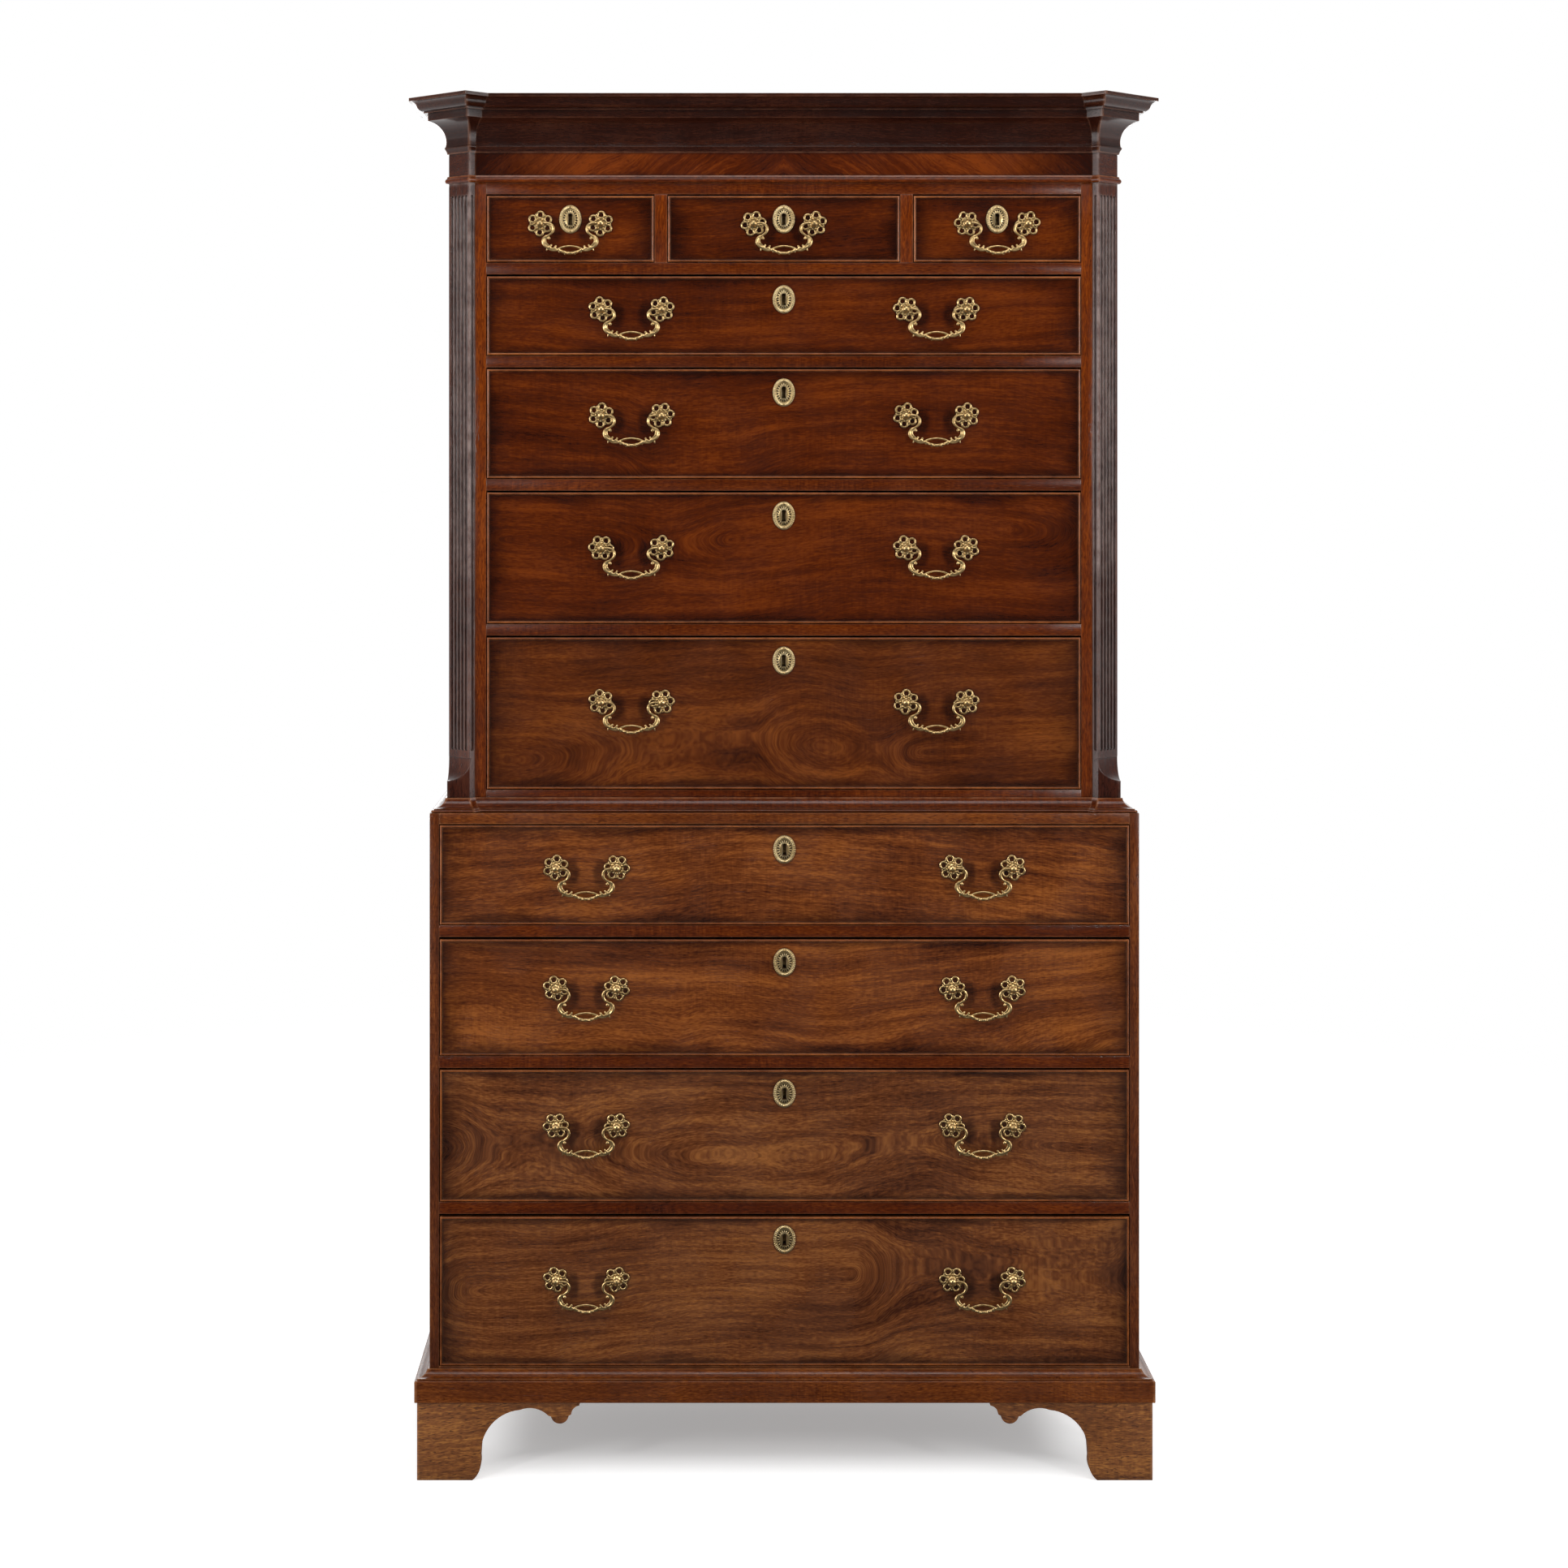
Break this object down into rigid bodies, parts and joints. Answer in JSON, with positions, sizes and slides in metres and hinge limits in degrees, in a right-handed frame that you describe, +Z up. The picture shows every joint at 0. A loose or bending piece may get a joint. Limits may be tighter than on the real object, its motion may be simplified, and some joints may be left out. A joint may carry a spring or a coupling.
{
  "type": "chest on chest",
  "caption": "Tall chest in two cases with full-width and short drawers, swinging bail handles, fluted canted corners, cornice and bracket feet.",
  "frame": {"origin": "on the floor, midway between the sides and midway between the foremost corner of the cornice and the back", "axes": "+Z up, +X to the right, the drawers face -Y"},
  "size_m": [1.0532, 0.5848, 1.9245],
  "materials": {
    "mahogany": "old polish, satin",
    "drawer_wood": "old polish on the fronts, bare oak inside",
    "carcass_oak": "bare, darkened with age",
    "gilt_brass": "aged, dark in the hollows"
  },
  "bodies": {
    "carcass": {"lower_side_left": "mahogany", "lower_side_right": "mahogany", "lower_top_and_bottom_boards": "mahogany", "lower_back_boards": "carcass_oak", "lower_drawer_rails": "mahogany", "lower_dust_boards": "carcass_oak", "base_moulding": "mahogany", "front_bracket_feet": "mahogany", "rear_bracket_feet": "mahogany", "waist_moulding": "mahogany", "upper_side_left": "mahogany", "upper_side_right": "mahogany", "upper_top_and_bottom_boards": "mahogany", "upper_back_boards": "carcass_oak", "upper_drawer_rails": "mahogany", "upper_dust_boards": "carcass_oak", "fluted_pilasters": "mahogany", "frieze": "mahogany", "cornice": "mahogany"},
    "lower_drawer_4": {"lower_drawer_4": "drawer_wood", "lower_drawer_4_brasses": "gilt_brass"},
    "lower_drawer_4_bail_left": {"lower_drawer_4_bail_left": "gilt_brass"},
    "lower_drawer_4_bail_right": {"lower_drawer_4_bail_right": "gilt_brass"},
    "lower_drawer_3": {"lower_drawer_3": "drawer_wood", "lower_drawer_3_brasses": "gilt_brass"},
    "lower_drawer_3_bail_left": {"lower_drawer_3_bail_left": "gilt_brass"},
    "lower_drawer_3_bail_right": {"lower_drawer_3_bail_right": "gilt_brass"},
    "lower_drawer_2": {"lower_drawer_2": "drawer_wood", "lower_drawer_2_brasses": "gilt_brass"},
    "lower_drawer_2_bail_left": {"lower_drawer_2_bail_left": "gilt_brass"},
    "lower_drawer_2_bail_right": {"lower_drawer_2_bail_right": "gilt_brass"},
    "lower_drawer_1": {"lower_drawer_1": "drawer_wood", "lower_drawer_1_brasses": "gilt_brass"},
    "lower_drawer_1_bail_left": {"lower_drawer_1_bail_left": "gilt_brass"},
    "lower_drawer_1_bail_right": {"lower_drawer_1_bail_right": "gilt_brass"},
    "upper_drawer_4": {"upper_drawer_4": "drawer_wood", "upper_drawer_4_brasses": "gilt_brass"},
    "upper_drawer_4_bail_left": {"upper_drawer_4_bail_left": "gilt_brass"},
    "upper_drawer_4_bail_right": {"upper_drawer_4_bail_right": "gilt_brass"},
    "upper_drawer_3": {"upper_drawer_3": "drawer_wood", "upper_drawer_3_brasses": "gilt_brass"},
    "upper_drawer_3_bail_left": {"upper_drawer_3_bail_left": "gilt_brass"},
    "upper_drawer_3_bail_right": {"upper_drawer_3_bail_right": "gilt_brass"},
    "upper_drawer_2": {"upper_drawer_2": "drawer_wood", "upper_drawer_2_brasses": "gilt_brass"},
    "upper_drawer_2_bail_left": {"upper_drawer_2_bail_left": "gilt_brass"},
    "upper_drawer_2_bail_right": {"upper_drawer_2_bail_right": "gilt_brass"},
    "upper_drawer_1": {"upper_drawer_1": "drawer_wood", "upper_drawer_1_brasses": "gilt_brass"},
    "upper_drawer_1_bail_left": {"upper_drawer_1_bail_left": "gilt_brass"},
    "upper_drawer_1_bail_right": {"upper_drawer_1_bail_right": "gilt_brass"},
    "short_drawer_left": {"short_drawer_left": "drawer_wood", "short_drawer_left_brasses": "gilt_brass"},
    "short_drawer_left_bail": {"short_drawer_left_bail": "gilt_brass"},
    "short_drawer_middle": {"short_drawer_middle": "drawer_wood", "short_drawer_middle_brasses": "gilt_brass"},
    "short_drawer_middle_bail": {"short_drawer_middle_bail": "gilt_brass"},
    "short_drawer_right": {"short_drawer_right": "drawer_wood", "short_drawer_right_brasses": "gilt_brass"},
    "short_drawer_right_bail": {"short_drawer_right_bail": "gilt_brass"}
  },
  "joints": [
    {"name": "lower_drawer_4_slide", "type": "slide", "parent": "carcass", "child": "lower_drawer_4", "axis": [0, -1, 0], "range_m": [0, 0.36]},
    {"name": "lower_drawer_4_bail_left_hinge", "type": "hinge", "parent": "lower_drawer_4", "child": "lower_drawer_4_bail_left", "pos_m": [-0.276, -0.24964, 0.27438], "axis": [-1, 0, 0], "range_deg": [-8, 100]},
    {"name": "lower_drawer_4_bail_right_hinge", "type": "hinge", "parent": "lower_drawer_4", "child": "lower_drawer_4_bail_right", "pos_m": [0.276, -0.24964, 0.27438], "axis": [-1, 0, 0], "range_deg": [-8, 100]},
    {"name": "lower_drawer_3_slide", "type": "slide", "parent": "carcass", "child": "lower_drawer_3", "axis": [0, -1, 0], "range_m": [0, 0.36]},
    {"name": "lower_drawer_3_bail_left_hinge", "type": "hinge", "parent": "lower_drawer_3", "child": "lower_drawer_3_bail_left", "pos_m": [-0.276, -0.24964, 0.48861], "axis": [-1, 0, 0], "range_deg": [-8, 100]},
    {"name": "lower_drawer_3_bail_right_hinge", "type": "hinge", "parent": "lower_drawer_3", "child": "lower_drawer_3_bail_right", "pos_m": [0.276, -0.24964, 0.48861], "axis": [-1, 0, 0], "range_deg": [-8, 100]},
    {"name": "lower_drawer_2_slide", "type": "slide", "parent": "carcass", "child": "lower_drawer_2", "axis": [0, -1, 0], "range_m": [0, 0.36]},
    {"name": "lower_drawer_2_bail_left_hinge", "type": "hinge", "parent": "lower_drawer_2", "child": "lower_drawer_2_bail_left", "pos_m": [-0.276, -0.24964, 0.68005], "axis": [-1, 0, 0], "range_deg": [-8, 100]},
    {"name": "lower_drawer_2_bail_right_hinge", "type": "hinge", "parent": "lower_drawer_2", "child": "lower_drawer_2_bail_right", "pos_m": [0.276, -0.24964, 0.68005], "axis": [-1, 0, 0], "range_deg": [-8, 100]},
    {"name": "lower_drawer_1_slide", "type": "slide", "parent": "carcass", "child": "lower_drawer_1", "axis": [0, -1, 0], "range_m": [0, 0.36]},
    {"name": "lower_drawer_1_bail_left_hinge", "type": "hinge", "parent": "lower_drawer_1", "child": "lower_drawer_1_bail_left", "pos_m": [-0.276, -0.24964, 0.84824], "axis": [-1, 0, 0], "range_deg": [-8, 100]},
    {"name": "lower_drawer_1_bail_right_hinge", "type": "hinge", "parent": "lower_drawer_1", "child": "lower_drawer_1_bail_right", "pos_m": [0.276, -0.24964, 0.84824], "axis": [-1, 0, 0], "range_deg": [-8, 100]},
    {"name": "upper_drawer_4_slide", "type": "slide", "parent": "carcass", "child": "upper_drawer_4", "axis": [0, -1, 0], "range_m": [0, 0.33]},
    {"name": "upper_drawer_4_bail_left_hinge", "type": "hinge", "parent": "upper_drawer_4", "child": "upper_drawer_4_bail_left", "pos_m": [-0.2138, -0.22014, 1.07668], "axis": [-1, 0, 0], "range_deg": [-8, 100]},
    {"name": "upper_drawer_4_bail_right_hinge", "type": "hinge", "parent": "upper_drawer_4", "child": "upper_drawer_4_bail_right", "pos_m": [0.2138, -0.22014, 1.07668], "axis": [-1, 0, 0], "range_deg": [-8, 100]},
    {"name": "upper_drawer_3_slide", "type": "slide", "parent": "carcass", "child": "upper_drawer_3", "axis": [0, -1, 0], "range_m": [0, 0.33]},
    {"name": "upper_drawer_3_bail_left_hinge", "type": "hinge", "parent": "upper_drawer_3", "child": "upper_drawer_3_bail_left", "pos_m": [-0.2138, -0.22014, 1.29279], "axis": [-1, 0, 0], "range_deg": [-8, 100]},
    {"name": "upper_drawer_3_bail_right_hinge", "type": "hinge", "parent": "upper_drawer_3", "child": "upper_drawer_3_bail_right", "pos_m": [0.2138, -0.22014, 1.29279], "axis": [-1, 0, 0], "range_deg": [-8, 100]},
    {"name": "upper_drawer_2_slide", "type": "slide", "parent": "carcass", "child": "upper_drawer_2", "axis": [0, -1, 0], "range_m": [0, 0.33]},
    {"name": "upper_drawer_2_bail_left_hinge", "type": "hinge", "parent": "upper_drawer_2", "child": "upper_drawer_2_bail_left", "pos_m": [-0.2138, -0.22014, 1.47889], "axis": [-1, 0, 0], "range_deg": [-8, 100]},
    {"name": "upper_drawer_2_bail_right_hinge", "type": "hinge", "parent": "upper_drawer_2", "child": "upper_drawer_2_bail_right", "pos_m": [0.2138, -0.22014, 1.47889], "axis": [-1, 0, 0], "range_deg": [-8, 100]},
    {"name": "upper_drawer_1_slide", "type": "slide", "parent": "carcass", "child": "upper_drawer_1", "axis": [0, -1, 0], "range_m": [0, 0.33]},
    {"name": "upper_drawer_1_bail_left_hinge", "type": "hinge", "parent": "upper_drawer_1", "child": "upper_drawer_1_bail_left", "pos_m": [-0.2138, -0.22014, 1.62774], "axis": [-1, 0, 0], "range_deg": [-8, 100]},
    {"name": "upper_drawer_1_bail_right_hinge", "type": "hinge", "parent": "upper_drawer_1", "child": "upper_drawer_1_bail_right", "pos_m": [0.2138, -0.22014, 1.62774], "axis": [-1, 0, 0], "range_deg": [-8, 100]},
    {"name": "short_drawer_left_slide", "type": "slide", "parent": "carcass", "child": "short_drawer_left", "axis": [0, -1, 0], "range_m": [0, 0.33]},
    {"name": "short_drawer_left_bail_hinge", "type": "hinge", "parent": "short_drawer_left", "child": "short_drawer_left_bail", "pos_m": [-0.2995, -0.22014, 1.74795], "axis": [-1, 0, 0], "range_deg": [-8, 100]},
    {"name": "short_drawer_middle_slide", "type": "slide", "parent": "carcass", "child": "short_drawer_middle", "axis": [0, -1, 0], "range_m": [0, 0.33]},
    {"name": "short_drawer_middle_bail_hinge", "type": "hinge", "parent": "short_drawer_middle", "child": "short_drawer_middle_bail", "pos_m": [0, -0.22014, 1.74795], "axis": [-1, 0, 0], "range_deg": [-8, 100]},
    {"name": "short_drawer_right_slide", "type": "slide", "parent": "carcass", "child": "short_drawer_right", "axis": [0, -1, 0], "range_m": [0, 0.33]},
    {"name": "short_drawer_right_bail_hinge", "type": "hinge", "parent": "short_drawer_right", "child": "short_drawer_right_bail", "pos_m": [0.2995, -0.22014, 1.74795], "axis": [-1, 0, 0], "range_deg": [-8, 100]}
  ]
}
